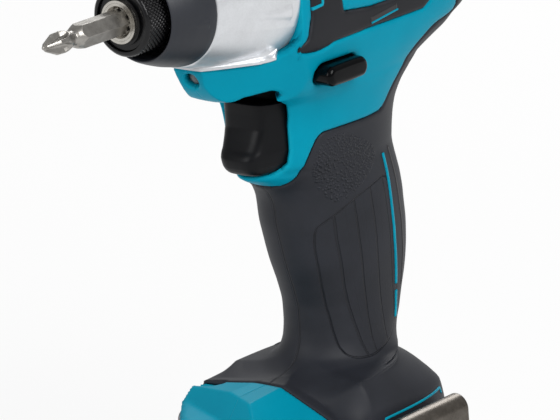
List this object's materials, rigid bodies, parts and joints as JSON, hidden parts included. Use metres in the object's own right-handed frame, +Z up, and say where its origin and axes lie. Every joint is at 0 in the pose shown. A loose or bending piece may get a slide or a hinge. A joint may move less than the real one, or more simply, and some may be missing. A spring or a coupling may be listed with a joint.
{
  "type": "impact driver",
  "caption": "Compact battery impact driver with a hex bit in a sliding-sleeve chuck, a silver hammer case, a trigger grip and a slide-on battery it stands on.",
  "frame": {"origin": "middle of the battery's flat underside, on which the tool stands", "axes": "+X forward to the bit, +Y to the tool's left, +Z up"},
  "size_m": [0.1647, 0.0641, 0.204],
  "materials": {
    "teal_plastic": "fine-grained moulded plastic",
    "grip_rubber": "soft matte moulded rubber, finely grained",
    "case_metal": "die-cast, satin silver",
    "bumper_rubber": "smooth matte rubber",
    "bronze": "sintered",
    "bit_steel": "bead-blasted grey",
    "anvil_steel": "turned",
    "sleeve_black": "blackened, knurled",
    "spring_steel": "drawn wire",
    "bright_steel": "ground",
    "dark_steel": "hardened, oiled",
    "black_plastic": "moulded",
    "can_steel": "zinc plated",
    "magnet": "ferrite",
    "copper": "lacquered winding and bars",
    "carbon": "pressed carbon",
    "tan_plastic": "phenolic",
    "trigger_plastic": "satin moulded",
    "lever_gloss": "polished",
    "lamp_clear": "clear lamp",
    "board_green": "solder resist",
    "contact_brass": "plated",
    "lead_red": "insulated wire",
    "clip_steel": "dull plated spring steel",
    "screw_steel": "zinc plated",
    "battery_plastic": "fine-grained moulded plastic",
    "cell_wrap": "shrink sleeve"
  },
  "bodies": {
    "housing": {"housing_left": "teal_plastic", "housing_right": "teal_plastic", "grip_left": "grip_rubber", "grip_right": "grip_rubber", "side_pad_left": "grip_rubber", "side_pad_right": "grip_rubber", "hammer_case": "case_metal", "nose_bumper": "bumper_rubber", "front_bush": "bronze", "ring_gear": "dark_steel", "bearing_box": "black_plastic", "spindle_bearing": "bright_steel", "motor_can": "can_steel", "motor_magnets": "magnet", "carbon_brushes": "carbon", "brush_plate": "tan_plastic", "motor_bush": "bronze", "trigger_switch": "black_plastic", "trigger_spring": "spring_steel", "led_lens": "lamp_clear", "led_board": "board_green", "terminal_block": "black_plastic", "contact_blades": "contact_brass", "battery_leads": "lead_red", "motor_leads": "lead_red", "clip_inserts": "contact_brass", "belt_clip": "clip_steel", "clip_screw": "screw_steel", "housing_screws": "screw_steel"},
    "spindle": {"spindle": "dark_steel", "planet_pins": "bright_steel", "thrust_washer": "bright_steel", "cam_balls": "bright_steel", "hammer_spring": "spring_steel"},
    "hammer": {"hammer": "dark_steel"},
    "anvil": {"anvil": "anvil_steel", "bit": "bit_steel", "spring_washer": "bright_steel", "retaining_ring": "bright_steel", "sleeve_spring": "spring_steel"},
    "sleeve": {"sleeve": "sleeve_black"},
    "ball_upper": {"detent_ball_upper": "bright_steel"},
    "ball_lower": {"detent_ball_lower": "bright_steel"},
    "rotor": {"rotor_shaft": "bright_steel", "pinion": "dark_steel", "armature": "copper", "commutator": "copper", "motor_fan": "black_plastic"},
    "planet_a": {"planet_gear_a": "dark_steel"},
    "planet_b": {"planet_gear_b": "dark_steel"},
    "trigger": {"trigger": "trigger_plastic"},
    "lever": {"reversing_lever": "lever_gloss"},
    "battery": {"battery_tray": "battery_plastic", "battery_cover": "battery_plastic", "battery_cells": "cell_wrap", "cell_straps": "bright_steel", "battery_board": "board_green", "latch_spring": "spring_steel"},
    "latch": {"battery_latch": "trigger_plastic"}
  },
  "joints": [
    {"name": "spindle_spin", "type": "hinge", "parent": "housing", "child": "spindle", "pos_m": [0, 0, 0.177], "axis": [1, 0, 0], "continuous": true},
    {"name": "hammer_slide", "type": "slide", "parent": "spindle", "child": "hammer", "axis": [-1, 0, 0], "range_m": [0, 0.006], "stiffness_N_per_m": 4000, "deforming": ["hammer_spring"]},
    {"name": "anvil_spin", "type": "hinge", "parent": "housing", "child": "anvil", "pos_m": [0, 0, 0.177], "axis": [1, 0, 0], "continuous": true},
    {"name": "sleeve_slide", "type": "slide", "parent": "anvil", "child": "sleeve", "axis": [1, 0, 0], "range_m": [0, 0.004], "stiffness_N_per_m": 800, "deforming": ["sleeve_spring"]},
    {"name": "ball_upper_slide", "type": "slide", "parent": "anvil", "child": "ball_upper", "axis": [0, 0, 1], "range_m": [0, 0.001]},
    {"name": "ball_lower_slide", "type": "slide", "parent": "anvil", "child": "ball_lower", "axis": [0, 0, -1], "range_m": [0, 0.001]},
    {"name": "rotor_spin", "type": "hinge", "parent": "housing", "child": "rotor", "pos_m": [0, 0, 0.177], "axis": [1, 0, 0], "continuous": true},
    {"name": "planet_a_spin", "type": "hinge", "parent": "spindle", "child": "planet_a", "pos_m": [0, 0.0105, 0.177], "axis": [1, 0, 0], "continuous": true},
    {"name": "planet_b_spin", "type": "hinge", "parent": "spindle", "child": "planet_b", "pos_m": [0, -0.0105, 0.177], "axis": [1, 0, 0], "continuous": true},
    {"name": "trigger_pull", "type": "slide", "parent": "housing", "child": "trigger", "axis": [-1, 0, 0], "range_m": [0, 0.0065], "stiffness_N_per_m": 700, "deforming": ["trigger_spring"]},
    {"name": "lever_slide", "type": "slide", "parent": "housing", "child": "lever", "axis": [0, -1, 0], "range_m": [0, 0.008]},
    {"name": "battery_slide", "type": "slide", "parent": "housing", "child": "battery", "axis": [1, 0, 0], "range_m": [0, 0.06]},
    {"name": "latch_press", "type": "slide", "parent": "battery", "child": "latch", "axis": [0, 0, -1], "range_m": [0, 0.003], "stiffness_N_per_m": 800, "deforming": ["latch_spring"]}
  ],
  "couplings": [
    {"joint": "anvil_spin", "follows": "spindle_spin", "ratio": 1},
    {"joint": "rotor_spin", "follows": "spindle_spin", "ratio": 6},
    {"joint": "planet_a_spin", "follows": "spindle_spin", "ratio": -2.5},
    {"joint": "planet_b_spin", "follows": "spindle_spin", "ratio": -2.5},
    {"joint": "ball_upper_slide", "follows": "sleeve_slide", "ratio": 0.25},
    {"joint": "ball_lower_slide", "follows": "sleeve_slide", "ratio": 0.25}
  ]
}
